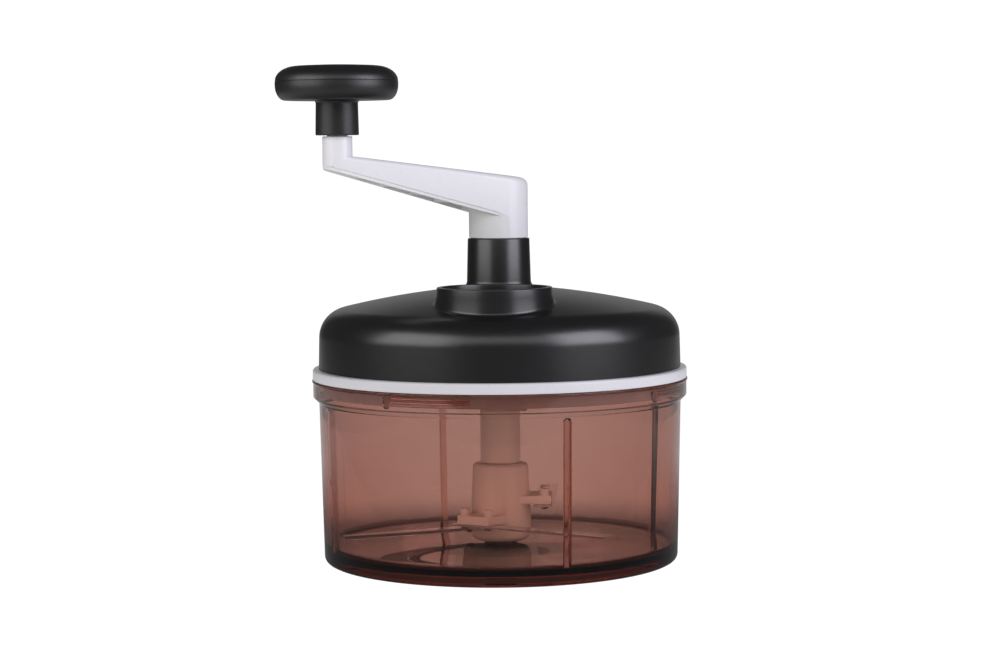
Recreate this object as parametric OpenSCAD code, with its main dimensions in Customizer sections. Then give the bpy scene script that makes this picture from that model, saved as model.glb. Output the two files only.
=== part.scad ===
// Hand crank food chopper: a clear brown bowl, a bayonet lid with a feed collar,
// a crank with a spinning knob, and a blade unit that stands on a pin in the bowl.
// Millimetres, +Z up. The origin is on the bowl's axis, on the table.

/* [Bowl] */
// Height of the rim above the table
bowl_h = 91.1; // [70:0.1:120]
// Outside radius of the wall just under the rim band
bowl_top_r = 90.2; // [84:0.1:98]
// How much the wall's radius shrinks down to the foot
bowl_draft = 1.8; // [0.7:0.1:3.6]
// Thickness of the wall
bowl_wall = 2.8; // [2.2:0.1:3.2]
// How far the rim band stands out from the wall
band_step = 2.9; // [2.2:0.1:3.6]
// Height of the rim band
band_h = 8.3; // [8:0.1:11]
// Height of the slope under the rim band
band_slope_h = 2.9; // [1.5:0.1:5]
// How far the lip at the rim stands out from the band
lip_step = 0.5; // [0.2:0.1:1.5]
// Height of the lip
lip_h = 0.9; // [0.5:0.1:2]
// Rounding of the foot's outer edge
foot_round = 3; // [1:0.1:5]
// Width of the ring that stands on the table
foot_ring_w = 5.4; // [3:0.1:9]
// Height of the inner floor above the table
floor_z = 8; // [7:0.1:12]
// Thickness of the floor
floor_wall = 3; // [2:0.1:4]
// Rounding between the floor and the wall
floor_round = 3; // [1:0.1:6]

/* [Stirring ribs] */
// Number of upright ribs inside the bowl
rib_count = 4; // [2:1:6]
// Direction of the first rib
rib_angle = -69; // [-80:1:-60]
// Width of a rib
rib_w = 3.5; // [2:0.1:5]
// Distance from the wall's outside to a rib's inner edge, at the foot
rib_reach = 5; // [4:0.1:7]
// Distance from the top of a rib down from the rim
rib_drop = 11.8; // [11.4:0.1:20]

/* [Bayonet] */
// Number of bayonet rails and of lid lugs
bayonet_count = 4; // [2:1:4]
// Direction of the middle of the first rail
rail_angle = -113; // [-118:1:-108]
// Length of a rail, as an angle
rail_span = 28; // [20:1:34]
// Thickness of a rail
rail_h = 2.6; // [1.5:0.1:3]
// Distance from the rim down to the top of a rail
rail_drop = 2.2; // [1.8:0.1:3]
// How far a rail stands in from the band
rail_proud = 1.4; // [0.8:0.1:1.7]
// How far the stop at the end of a rail hangs below it
stop_drop = 3; // [2:0.1:3.4]
// Length of the stop, as an angle
stop_span = 2.3; // [1.5:0.1:4]
// Length of a lid lug, as an angle
lug_span = 12; // [8:1:16]
// Turn between the end of a rail and the nearest end of a lug
lug_open_angle = 5; // [3:1:9]
// Thickness of a lid lug
lug_h = 2.2; // [1.5:0.1:3]
// Upright play between a rail and a lug
lug_play = 0.5; // [0.3:0.1:1]

/* [Pin] */
// Radius of the steel pin that carries the blade unit
pin_r = 3; // [2.5:0.1:3.6]
// Height of the pin above its boss
pin_rise = 18.5; // [14:0.1:19.5]
// Radius of the pin's boss
boss_r = 8; // [6:0.1:9.5]
// Height of the boss above the floor
boss_rise = 1.5; // [1:0.1:2.5]
// Height of the boss's lower end above the table
boss_foot_z = 1; // [0.5:0.1:2]
// Floor left under the pin
pin_seat = 1.6; // [1:0.1:2.5]

/* [Lid] */
// How far the white base's edge stays inside the bowl's lip
ring_inset = 0.35; // [0:0.05:0.8]
// Height of the white edge
ring_h = 5.1; // [4:0.1:7]
// Gap between the white edge and the bowl's rim
ring_gap = 0.3; // [0.3:0.1:0.8]
// Chamfer on the upper corner of the white edge
ring_chamfer = 0.6; // [0.2:0.1:1]
// Thickness of the rim that centres the cover
locating_rim_t = 1.6; // [1.2:0.1:2.2]
// Height of that rim above the white edge
locating_rim_h = 3; // [2:0.1:5]
// Depth of the skirt inside the rim
skirt_h = 7; // [6.5:0.1:8]
// Thickness of the skirt
skirt_wall = 2; // [1.5:0.1:2.6]
// Thickness of the base plate
plate_t = 2.6; // [2.2:0.1:3.4]
// Width of the silicone seal
seal_w = 1.7; // [1.2:0.1:2]
// Height of the silicone seal
seal_h = 1.8; // [1.4:0.1:2.4]
// How far the cover's lower edge stays inside the white edge
cover_inset = 3.05; // [1.5:0.05:3.6]
// How far the cover's side leans in
cover_draft = 0.4; // [0:0.1:1]
// Height of the crown's curve above the white edge, at the lid's axis
cover_h = 40.8; // [38:0.1:46]
// Radius of the crown's curve
crown_r = 408; // [380:1:450]
// How far the curve's centre lies past the axis, which gives the crown a slight cone
crown_past = 16.4; // [8:0.1:24]
// Radius of the shoulder's curve
shoulder_r = 14.8; // [11:0.1:18]
// Thickness of the cover
cover_wall = 2.5; // [2:0.1:3]

/* [Neck] */
// Height of the neck above the crown
neck_h = 23.3; // [20:0.1:30]
// Outside radius of the neck's top
neck_top_r = 15.35; // [15:0.05:17]
// Outside radius of the neck's foot
neck_foot_r = 15.95; // [15.4:0.05:18]
// Rounding between the neck and the crown
neck_round = 3.6; // [2:0.1:5]
// Length of the bush in the neck
neck_bush_h = 9.7; // [7:0.1:11]
// Thickness of the bush in the neck
neck_bush_wall = 1.9; // [1.4:0.1:2]
// Thickness of the ledge under the bush
neck_ledge_t = 1.5; // [1:0.1:2.5]

/* [Feed collar] */
// Distance from the cover's edge to the collar
port_edge_gap = 13; // [10:0.1:20]
// Distance from the neck's rounding to the collar
port_neck_gap = 2.25; // [1:0.05:8]
// Wall of the feed collar
port_wall = 2.6; // [2:0.1:3.2]
// Direction of the feed collar
port_angle = -92.5; // [-100:0.5:-85]
// Height of the collar's rim above the crown's curve at the axis
port_rise = 1.7; // [0:0.1:8]

/* [Lid screws] */
// Number of screws that hold the base to the cover
screw_count = 4; // [4:2:4]
// Distance from the cover's edge in to the screws
screw_inset = 28.2; // [22:0.1:31]
// Direction of the first screw
screw_angle = 45; // [40:1:50]
// Radius of a screw's thread
screw_r = 1.5; // [1.2:0.1:1.8]
// Radius of a screw's head
screw_head_r = 3.2; // [2.6:0.1:3.6]
// Height of a screw's head
screw_head_h = 1.8; // [1.4:0.1:2]
// Length of a screw under its head
screw_len = 13; // [9:0.5:18]
// Wall round a screw's head in the base
screw_pad_wall = 2.4; // [1.6:0.1:3]
// Radius of the bosses that the screws go into
screw_boss_r = 4; // [3.4:0.1:5]

/* [Drive] */
// Radius of the drive tube
tube_r = 10; // [9.6:0.1:10.4]
// Radius of the drive tube's bore
tube_bore_r = 6; // [4.6:0.1:6.6]
// Width across the flats of the tube's lower hexagon
hex_low_af = 17; // [16:0.1:17]
// Depth that the tube reaches into the blade hub
hex_low_depth = 18; // [12:0.5:18.5]
// Width across the flats of the tube's upper hexagon
hex_top_af = 10; // [9:0.1:10.6]
// Height of the upper hexagon
hex_top_h = 10.8; // [8:0.1:12]
// Web in the tube that the drive screw's head bears on
tube_web = 6.3; // [4:0.1:8]
// Radius of the drive screw's shank
drive_screw_r = 1.95; // [1.5:0.05:2.2]
// Radius of the drive screw's head
drive_head_r = 3.9; // [3.2:0.1:4.2]
// Height of the drive screw's head
drive_head_h = 2.8; // [2:0.1:3.5]
// Depth of the drive screw in the crank's insert
drive_screw_bite = 12; // [8:0.5:14]
// Thickness of the washer that keeps the crank in the neck
keeper_t = 1; // [0.8:0.1:1.4]
// Outside radius of that washer
keeper_r = 12.4; // [12:0.1:12.6]
// Length of the bush in the lid's base
base_bush_h = 8.9; // [7:0.1:12]
// Thickness of the bush in the lid's base
base_bush_wall = 2.9; // [2:0.1:3.4]
// Width of the bush's flange
base_flange_w = 2.5; // [1.5:0.1:3]
// Thickness of the bush's flange
base_flange_t = 1.5; // [1:0.1:2.5]
// Wall of the socket that holds the bush
base_socket_wall = 3; // [2.4:0.1:3.6]
// How far the socket hangs below the base
base_socket_drop = 2; // [1:0.1:3]

/* [Crank] */
// Distance from the drive's axis to the knob's axis
arm_len = 85.2; // [70:0.1:110]
// Direction in which the arm points at rest
arm_angle = 205; // [195:1:215]
// Radius of the crank's hub
hub_r = 14.7; // [14.2:0.1:16]
// Gap between the hub and the neck
hub_gap = 0.4; // [0.3:0.1:1]
// Height of the arm's top over the neck, at the hub's axis
arm_top_rise = 31.2; // [29:0.1:36]
// Slope of the arm's top, in degrees
arm_top_slope = 7.2; // [4:0.1:10]
// Height of the shell's lower edge over the neck, at the hub's axis
arm_edge_rise = 11.5; // [9:0.1:13]
// Slope of the shell's lower edge, in degrees
arm_edge_slope = 15.3; // [13:0.1:16]
// Thickness of the crank's shell
shell_wall = 2; // [1.5:0.1:2.5]
// Rounding of the shell's upper corner over the hub
shell_round = 3.7; // [2:0.1:5]
// Height of the insert's lip below the shell's edge
lip_drop = 1.6; // [1:0.1:2.5]
// Thickness of the insert's rim
insert_rim = 1.6; // [1.2:0.1:2.2]
// Height of the insert's rim
insert_rim_h = 6; // [4.5:0.1:7]
// Thickness of the insert's web
insert_web = 1.5; // [1:0.1:2.5]
// Number of cross ribs under the arm
cross_ribs = 3; // [1:1:5]
// Radius of the post under the knob
post_r = 7.25; // [6.8:0.05:8.5]
// Height of the post's top above the arm's edge at the post
post_rise = 16.1; // [14:0.1:22]
// Radius of the spindle inside the knob
spindle_r = 5; // [4.4:0.1:5.2]
// Radius of the spigot that runs in the neck
spigot_r = 11; // [10.6:0.1:11]

/* [Knob] */
// Largest radius of the knob
knob_r = 29.7; // [26:0.1:34]
// Height of the knob's neck
knob_neck_h = 16.8; // [14:0.1:24]
// Radius of the knob's neck at its lower end
knob_neck_r = 10.55; // [9.5:0.05:12]
// How far the knob's neck leans in
knob_neck_draft = 0.35; // [0:0.05:1]
// Rounding between the knob's neck and its underside
knob_fillet = 1.6; // [0.8:0.1:3]
// Height of the knob's lower half
knob_low_h = 9; // [8:0.1:12]
// Height of the knob's cap at its edge
knob_cap_h = 7.2; // [6:0.1:9]
// Extra height of the cap's middle
knob_crown = 0.8; // [0:0.1:2]
// Width of the round edge on the cap
knob_cap_round = 10.6; // [7:0.1:14]
// Width of the round edge under the knob
knob_low_round = 4.7; // [3:0.1:8]
// Height of the straight band under the seam
knob_band_h = 1.6; // [0.8:0.1:2]
// Thickness of the knob's washer
knob_washer_t = 1; // [0.8:0.1:1.4]
// Radius of the knob's washer
knob_washer_r = 7.5; // [6.5:0.1:8]
// Depth of the well for the screw under the cap
knob_well = 7; // [6.4:0.1:8]
// Depth of the step in the well, which the washer turns in
knob_well_step = 2.4; // [1.8:0.1:3]
// Play between the washer and the step's wall
knob_washer_play = 1.5; // [0.5:0.1:2]
// Thickness of the cap's plug
knob_cap_wall = 2.5; // [1.6:0.1:3]
// Depth of the hollow over the plug
knob_cap_recess = 1.5; // [0:0.1:4]

/* [Blade unit] */
// Gap between the hub's foot and the pin's boss
hub_lift = 0.3; // [0.2:0.1:0.8]
// Height of the blade hub
blade_hub_h = 39.7; // [38:0.1:46]
// Radius of the hub's lower part
blade_hub_r = 15; // [14:0.1:15.4]
// Height up to which the hub keeps its full radius
blade_hub_straight_h = 14; // [8:0.5:18]
// Radius of the hub's top
blade_hub_top_r = 13.85; // [13:0.05:14.6]
// Rounding at the hub's foot
blade_hub_foot_round = 4.4; // [2:0.1:5]
// Rounding at the hub's top
blade_hub_top_round = 2; // [1:0.1:2.4]
// Thickness of a blade
blade_t = 1; // [0.8:0.1:1.5]
// Width of a blade
blade_w = 10.5; // [9:0.1:12]
// Gap between a blade's tip and the stirring ribs
blade_gap = 2.9; // [1.5:0.1:15]
// Length of a blade behind the hub's middle
blade_tail = 13; // [10.5:0.1:15]
// Distance from the axis to a blade's cutting edge
blade_offset = 16.5; // [16:0.1:17.5]
// Width of the ground edge
blade_bevel = 1.6; // [0.8:0.1:3]
// Slant of a blade's two ends
blade_slant = 2.5; // [0:0.1:4]
// Direction of the lowest blade
blade_angle = 207; // [195:1:220]
// Height of the lowest blade above the hub's foot
level_low = 2.9; // [2.4:0.1:4]
// Height of the middle blade above the hub's foot
level_mid = 9.4; // [8.5:0.1:11]
// Height of the highest blade above the hub's foot
level_top = 18.2; // [17:0.1:20]
// Thickness of a blade's mounting lug
mount_t = 4.2; // [3:0.1:5]
// Distance from the axis to a mounting lug's outer face
mount_out = 25.5; // [25:0.1:27]
// Half length of a mounting lug at its outer face
mount_half = 9; // [8.5:0.1:10]
// How much longer each end of a lug is at the hub
mount_flare = 2; // [0:0.1:3]
// Spacing of the two posts on a lug
post_pitch = 13.7; // [12:0.1:14]
// Distance from the axis to a lug's posts
post_offset = 22; // [21:0.1:22.8]
// Radius of a lug's post
lug_post_r = 2.25; // [2.1:0.05:2.6]
// Height of a lug's post
lug_post_h = 3.5; // [2.5:0.1:5]
// Radius of a blade screw's shank
blade_screw_r = 1.25; // [1:0.05:1.4]
// Radius of a blade screw's head
blade_head_r = 2.25; // [1.8:0.05:2.6]
// Height of a blade screw's head
blade_head_h = 1.6; // [1:0.1:1.8]

/* [Fits] */
// Radial play of a part that turns
run_play = 0.06; // [0.03:0.01:0.09]
// Radial play of a part that is pushed home and stays
push_play = 0.1; // [0.05:0.01:0.15]
// Play across the flats of a hexagon in its socket
hex_play = 0.3; // [0.2:0.05:0.5]
// Gap between two faces that bear on each other
face_gap = 0.1; // [0.05:0.01:0.2]
// Play between a part that is lifted out and its neighbour
lift_play = 0.4; // [0.3:0.05:0.45]
// Play of a screw's thread in its hole
screw_play = 0.05; // [0.02:0.01:0.1]
// Upright play under a shoulder that must not bear
end_play = 0.5; // [0.3:0.1:0.8]

/* [Hidden] */
// Facets of round surfaces in the preview
fine = 96;
// Length that a cut runs past a face
over = 1;
// How far the arm's straight sides are let into the round ends
side_in = 0.1;
// Slanting step where the shell's lower edge turns down over the hub
edge_step = 1.5;
// Depth that one shape is let into another where they join
root = 0.6;
// Straight pieces that stand for one rounded corner of a profile
corner = 6;

// Radii and heights of the bowl
bowl_foot_r = bowl_top_r - bowl_draft;
rib_in_r = bowl_foot_r - rib_reach;
band_r = bowl_top_r + band_step;
band_in_r = band_r - bowl_wall;
band_z = bowl_h - band_h;
wall_top_z = band_z - band_slope_h;
boss_top_z = floor_z + boss_rise;
pin_foot_z = boss_foot_z + pin_seat;
rail_top_z = bowl_h - rail_drop;
rail_z = rail_top_z - rail_h;
rail_in_r = band_in_r - rail_proud;

// Radii and heights of the lid
ring_r = band_r + lip_step - ring_inset;
cover_r = ring_r - cover_inset;
screw_circle_r = cover_r - screw_inset;
ring_z = bowl_h + ring_gap;
cover_z = ring_z + ring_h;
crown_z = cover_z + cover_h;
neck_z = crown_z + neck_h;
plate_top_z = ring_z + plate_t;
skirt_out_r = rail_in_r - lift_play - ring_gap;
skirt_in_r = skirt_out_r - skirt_wall;
lug_top_z = rail_z - lug_play;
cover_top_r = cover_r - cover_draft;
crown_centre_z = crown_z - sqrt(pow(crown_r, 2) - pow(crown_past, 2));
shoulder_x = cover_top_r - shoulder_r;
shoulder_z = crown_centre_z
    + sqrt(pow(crown_r - shoulder_r, 2) - pow(shoulder_x + crown_past, 2));
shoulder_a = atan2(shoulder_z - crown_centre_z, shoulder_x + crown_past);
port_out_r = (cover_r - port_edge_gap - neck_foot_r - neck_round - port_neck_gap) / 2;
port_r = port_out_r - port_wall;
port_offset = cover_r - port_edge_gap - port_out_r;
port_top_z = crown_z + port_rise;
port_foot_z = plate_top_z + ring_gap;
seal_mid_r = (band_in_r + band_r + lip_step) / 2 - ring_inset;
base_seat_r = tube_r + run_play + base_bush_wall + push_play;
base_socket_r = base_seat_r + base_socket_wall;
base_socket_z = ring_z - base_socket_drop;
base_bush_top_z = base_socket_z + base_bush_h;

// Heights of the neck and of what turns in it
neck_seat_r = spigot_r + run_play + neck_bush_wall + push_play;
neck_ledge_z = neck_z - face_gap * 3 - neck_bush_h;
neck_hole_z = neck_ledge_z - neck_ledge_t;
hub_z = neck_z + hub_gap;
spigot_z = neck_hole_z - end_play;
tube_top_z = spigot_z - keeper_t - face_gap * 2;
tube_web_z = tube_top_z - tube_web;

// Heights of the blade unit and the foot of the drive tube
hub_foot_z = boss_top_z + hub_lift;
hub_top_z = hub_foot_z + blade_hub_h;
tube_hex_z = hub_top_z + end_play;
tube_foot_z = hub_top_z - hex_low_depth;
socket_z = tube_foot_z - end_play;
blade_reach = sqrt(pow(rib_in_r - blade_gap, 2) - pow(blade_offset + blade_w, 2));

// Heights of the crank and the knob
edge_z = neck_z + arm_edge_rise;
edge_rate = tan(arm_edge_slope);
top_z = neck_z + arm_top_rise;
top_rate = tan(arm_top_slope);
post_top_z = edge_z + edge_rate * arm_len + post_rise;
knob_z = post_top_z + hub_gap;
knob_low_z = knob_z + knob_neck_h;
seam_z = knob_low_z + knob_low_h;
well_z = seam_z - knob_well;
spindle_top_z = well_z + face_gap * 3;
knob_head_z = spindle_top_z + knob_washer_t + face_gap * 2;
// Distance past the hub's axis at which the shell ends over the neck
shell_split = 1;
// Distance from the hub's axis to the end of the shell's cavity
cavity_end = arm_len - spindle_r - push_play - shell_wall;
// Height of the shell's inner roof over the hub
shell_roof_z = top_z - top_rate * (hub_r - shell_round) - shell_wall - shell_round;

function arc(cx, cy, rx, ry, a0, a1, n) =
    [for (i = [0:n]) let (a = a0 + (a1 - a0) * i / n) [cx + rx * cos(a), cy + ry * sin(a)]];

// Outside radius of the bowl's wall at a height
function wall_r(z) =
    bowl_foot_r + (bowl_top_r - bowl_foot_r) * (z - foot_round) / (wall_top_z - foot_round);

// Height of the cover's curve at a radius, on a surface that lies d inside the outer one
function crown_at(r, d) =
    crown_centre_z + sqrt(pow(crown_r - d, 2) - pow(r + crown_past, 2));

// Radius at which the crown's curve meets the shoulder's
function crown_end(d) = (crown_r - d) * cos(shoulder_a) - crown_past;

// Shell's lower edge, insert's lower edge and arm's top at a distance from the hub's axis
function edge_at(s) = edge_z + edge_rate * s;
function lip_at(s) = edge_at(s) - lip_drop;
function top_at(s) = top_z + top_rate * s;

module hexagon(af, h) {
    cylinder(r = af / 2 / cos(30), h = h, $fn = 6);
}

module place(r, a, z) {
    rotate([0, 0, a])
        translate([r, 0, z])
            children();
}

// Side view (distance from the axis, height) drawn out across the arm
module side_view(points) {
    rotate([90, 0, 0])
        linear_extrude(height = 4 * hub_r, center = true)
            polygon(points);
}

module crank_place() {
    rotate([0, 0, arm_angle])
        children();
}

module knob_place() {
    crank_place()
        translate([arm_len, 0, 0])
            children();
}

// ---------------------------------------------------------------- bowl

module bowl_wall_form() {
    floor_corner_z = floor_z + floor_round;
    floor_corner_r = wall_r(floor_corner_z) - bowl_wall;
    foot_in_r = bowl_foot_r - foot_round - foot_ring_w;
    rotate_extrude($fn = fine)
        polygon(concat(
            [[foot_in_r, 0]],
            arc(bowl_foot_r - foot_round, foot_round, foot_round, foot_round, -90, 0, corner),
            [
                [bowl_top_r, wall_top_z],
                [band_r, band_z],
                [band_r, bowl_h - lip_h - lip_step],
                [band_r + lip_step, bowl_h - lip_h],
                [band_r + lip_step, bowl_h],
                [band_in_r, bowl_h],
                [band_in_r, band_z],
                [bowl_top_r - bowl_wall, wall_top_z]
            ],
            arc(floor_corner_r - floor_round, floor_corner_z, floor_round, floor_round, 0, -90, corner),
            [
                [boss_r, floor_z],
                [boss_r, boss_top_z],
                [0, boss_top_z],
                [0, boss_foot_z],
                [boss_r, boss_foot_z],
                [boss_r, floor_z - floor_wall],
                [foot_in_r, floor_z - floor_wall]
            ]
        ));
}

// One upright rib: it follows the wall, and its top is a round arch
module stirring_rib() {
    lean_in = (bowl_top_r - bowl_foot_r) * 0.9;
    out_r = (bowl_foot_r + bowl_top_r - bowl_wall) / 2;
    top = bowl_h - rib_drop;
    foot = floor_z - root;
    intersection() {
        rotate([90, 0, 0])
            linear_extrude(height = 2 * rib_w, center = true)
                polygon([[rib_in_r, foot], [out_r, foot], [out_r, top], [rib_in_r + lean_in, top]]);
        rotate([90, 0, 90])
            linear_extrude(height = 2 * out_r)
                union() {
                    translate([-rib_w / 2, foot - over])
                        square([rib_w, top - foot - rib_w / 2 + over]);
                    translate([0, top - rib_w / 2])
                        circle(r = rib_w / 2, $fn = 32);
                }
    }
}

// One bayonet rail inside the band, with a stop hanging from its end
module bayonet_rail() {
    rotate([0, 0, -rail_span / 2])
        rotate_extrude(angle = rail_span, $fn = fine)
            translate([rail_in_r, rail_z])
                square([rail_proud + root, rail_h]);
    rotate([0, 0, -rail_span / 2])
        rotate_extrude(angle = stop_span, $fn = fine)
            translate([rail_in_r, rail_z - stop_drop])
                square([rail_proud + root, stop_drop + root]);
}

module bowl() {
    color([0.55, 0.35, 0.30, 0.5])
        difference() {
            union() {
                bowl_wall_form();
                for (i = [0:rib_count - 1])
                    rotate([0, 0, rib_angle + i * 360 / rib_count])
                        stirring_rib();
                for (i = [0:bayonet_count - 1])
                    rotate([0, 0, rail_angle + i * 360 / bayonet_count])
                        bayonet_rail();
            }
            translate([0, 0, pin_foot_z - face_gap])
                cylinder(r = pin_r + push_play / 2, h = boss_top_z, $fn = 48);
        }
}

module bowl_pin() {
    tip = pin_r * 0.3;
    color([0.78, 0.78, 0.80])
        rotate_extrude($fn = 48)
            polygon([
                [0, pin_foot_z],
                [pin_r, pin_foot_z],
                [pin_r, boss_top_z + pin_rise - tip],
                [pin_r - tip, boss_top_z + pin_rise],
                [0, boss_top_z + pin_rise]
            ]);
}

// ---------------------------------------------------------------- lid

module screw_places() {
    for (i = [0:screw_count - 1])
        place(screw_circle_r, screw_angle + i * 360 / screw_count, 0)
            children();
}

module lid_base_form() {
    seal_out_r = seal_mid_r + seal_w / 2 + push_play;
    seal_in_r = seal_mid_r - seal_w / 2 - push_play;
    groove_z = ring_z + seal_h;
    rim_out_r = cover_top_r - cover_wall - push_play * 1.5;
    rim_in_r = rim_out_r - locating_rim_t;
    rim_top_z = cover_z + locating_rim_h;
    rotate_extrude($fn = fine)
        polygon([
            [base_seat_r, base_socket_z],
            [base_socket_r, base_socket_z],
            [base_socket_r, ring_z],
            [skirt_in_r, ring_z],
            [skirt_in_r, ring_z - skirt_h],
            [skirt_out_r, ring_z - skirt_h],
            [skirt_out_r, ring_z],
            [seal_in_r, ring_z],
            [seal_in_r, groove_z],
            [seal_out_r, groove_z],
            [seal_out_r, ring_z],
            [ring_r, ring_z],
            [ring_r, cover_z - ring_chamfer],
            [ring_r - ring_chamfer, cover_z],
            [rim_out_r, cover_z],
            [rim_out_r, rim_top_z],
            [rim_in_r, rim_top_z],
            [rim_in_r, plate_top_z],
            [base_socket_r, plate_top_z],
            [base_socket_r, base_bush_top_z],
            [base_seat_r, base_bush_top_z]
        ]);
}

module lid_lug() {
    lug_out_r = band_in_r - lift_play;
    rotate_extrude(angle = lug_span, $fn = fine)
        translate([skirt_out_r - root, lug_top_z - lug_h])
            square([lug_out_r - skirt_out_r + root, lug_h]);
}

module lid_base() {
    lug_start = rail_angle + rail_span / 2 + lug_open_angle;
    boss_h = cover_z - face_gap * 2 - plate_top_z;
    color([0.90, 0.89, 0.92])
        difference() {
            union() {
                lid_base_form();
                for (i = [0:bayonet_count - 1])
                    rotate([0, 0, lug_start + i * 360 / bayonet_count])
                        lid_lug();
                screw_places()
                    translate([0, 0, plate_top_z - root])
                        cylinder(r = screw_head_r + screw_pad_wall, h = boss_h + root, $fn = 48);
            }
            place(port_offset, port_angle, ring_z - skirt_h)
                cylinder(r = port_r + ring_gap, h = skirt_h + plate_t + over, $fn = fine);
            screw_places() {
                translate([0, 0, ring_z - over])
                    cylinder(r = screw_head_r + lift_play, h = screw_head_h + face_gap + over, $fn = 48);
                translate([0, 0, ring_z])
                    cylinder(r = screw_r + push_play * 2, h = ring_h + over, $fn = 32);
            }
        }
}

module lid_seal() {
    color([0.80, 0.80, 0.78])
        rotate_extrude($fn = fine)
            translate([seal_mid_r - seal_w / 2, ring_z - push_play])
                square([seal_w, seal_h]);
}

module cover_form() {
    n = 10;
    foot_z = crown_at(neck_foot_r + neck_round, 0);
    bore_r = neck_seat_r + push_play * 1.5;
    rotate_extrude($fn = fine)
        polygon(concat(
            [[cover_r - cover_wall, cover_z], [cover_r, cover_z]],
            arc(shoulder_x, shoulder_z, shoulder_r, shoulder_r, 0, shoulder_a, n),
            [for (i = [1:n - 1])
                let (r = crown_end(0) + (neck_foot_r + neck_round - crown_end(0)) * i / n)
                [r, crown_at(r, 0)]],
            arc(neck_foot_r + neck_round, foot_z + neck_round, neck_round, neck_round, -90, -180, corner),
            [
                [neck_top_r, neck_z],
                [neck_seat_r, neck_z],
                [neck_seat_r, neck_ledge_z],
                [spigot_r + root, neck_ledge_z],
                [spigot_r + root, neck_hole_z],
                [bore_r, neck_hole_z],
                [bore_r, crown_at(bore_r, cover_wall)]
            ],
            [for (i = [1:n - 1])
                let (r = bore_r + (crown_end(cover_wall) - bore_r) * i / n)
                [r, crown_at(r, cover_wall)]],
            arc(shoulder_x, shoulder_z, shoulder_r - cover_wall, shoulder_r - cover_wall, shoulder_a, 0, n)
        ));
}

module lid_cover() {
    boss_top_z = crown_at(screw_circle_r, cover_wall / 2);
    color([0.13, 0.13, 0.14])
        difference() {
            union() {
                cover_form();
                place(port_offset, port_angle, port_foot_z)
                    cylinder(r = port_out_r, h = port_top_z - port_foot_z, $fn = fine);
                screw_places()
                    translate([0, 0, cover_z])
                        cylinder(r = screw_boss_r, h = boss_top_z - cover_z, $fn = 48);
            }
            place(port_offset, port_angle, port_foot_z - over)
                cylinder(r = port_r, h = port_top_z - port_foot_z + 2 * over, $fn = fine);
            screw_places()
                translate([0, 0, cover_z - over])
                    cylinder(r = screw_r + screw_play, h = screw_len + over, $fn = 32);
        }
}

module cover_screws() {
    head_z = ring_z + face_gap;
    color([0.70, 0.70, 0.72])
        screw_places() {
            translate([0, 0, head_z])
                cylinder(r = screw_head_r, h = screw_head_h - face_gap, $fn = 48);
            translate([0, 0, head_z + root])
                cylinder(r = screw_r, h = screw_len - root, $fn = 32);
        }
}

module neck_bush() {
    color([0.86, 0.84, 0.78])
        rotate_extrude($fn = fine)
            translate([spigot_r + run_play, neck_ledge_z + face_gap])
                square([neck_bush_wall, neck_bush_h]);
}

module base_bush() {
    in_r = tube_r + run_play;
    flange_z = base_bush_top_z + face_gap;
    color([0.86, 0.84, 0.78])
        rotate_extrude($fn = fine)
            polygon([
                [in_r, base_socket_z + face_gap],
                [in_r + base_bush_wall, base_socket_z + face_gap],
                [in_r + base_bush_wall, flange_z],
                [in_r + base_bush_wall + base_flange_w, flange_z],
                [in_r + base_bush_wall + base_flange_w, flange_z + base_flange_t],
                [in_r, flange_z + base_flange_t]
            ]);
}

// ---------------------------------------------------------------- crank

// Half the arm's width at a distance from the hub's axis, made smaller by inset.
// The straight sides are let a little into the hub and the post.
function half_at(s, inset) =
    hub_r - 2 * side_in - inset + (post_r - hub_r + side_in) * s / arm_len;

// The arm's straight part seen from above, from s0 to s1, up to a height
module arm_bar(inset, s0, s1, z1) {
    translate([0, 0, hub_z])
        linear_extrude(height = z1 - hub_z)
            polygon([
                [s0, -half_at(s0, inset)],
                [s1, -half_at(s1, inset)],
                [s1, half_at(s1, inset)],
                [s0, half_at(s0, inset)]
            ]);
}

module arm_round(s, r, z1) {
    translate([s, 0, hub_z])
        cylinder(r = r, h = z1 - hub_z, $fn = fine);
}

module crank_shell() {
    tip = arm_len + 2 * post_r;
    back = -2 * hub_r;
    shoulder = arm_len - post_r - end_play;
    color([0.88, 0.87, 0.91])
        crank_place()
            difference() {
                intersection() {
                    union() {
                        arm_bar(0, 0, arm_len, top_at(shoulder) - 2 * side_in);
                        arm_round(0, hub_r, post_top_z);
                        arm_round(arm_len, post_r, post_top_z);
                    }
                    side_view(concat(
                        [
                            [back, hub_z],
                            [shell_split, hub_z],
                            [shell_split, edge_at(shell_split) - edge_step],
                            [shell_split + edge_step, edge_at(shell_split + edge_step)],
                            [tip, edge_at(tip)],
                            [tip, post_top_z + over],
                            [shoulder, post_top_z + over],
                            [shoulder, top_at(shoulder)]
                        ],
                        arc(
                            shell_round - hub_r,
                            top_at(shell_round - hub_r) - shell_round,
                            shell_round, shell_round, 90, 165, corner
                        ),
                        [[-hub_r - shell_wall, top_at(-hub_r) - 4 * shell_round]]
                    ));
                }
                intersection() {
                    union() {
                        arm_bar(shell_wall, 0, cavity_end, post_top_z);
                        arm_round(0, hub_r - shell_wall, post_top_z);
                    }
                    side_view([
                        [back, hub_z - over],
                        [tip, hub_z - over],
                        [tip, top_at(tip) - shell_wall],
                        [shell_round - hub_r, top_at(shell_round - hub_r) - shell_wall],
                        [-hub_r, shell_roof_z],
                        [back, shell_roof_z]
                    ]);
                }
                translate([arm_len, 0, hub_z])
                    cylinder(r = spindle_r + push_play, h = post_top_z, $fn = 48);
            }
}

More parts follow.
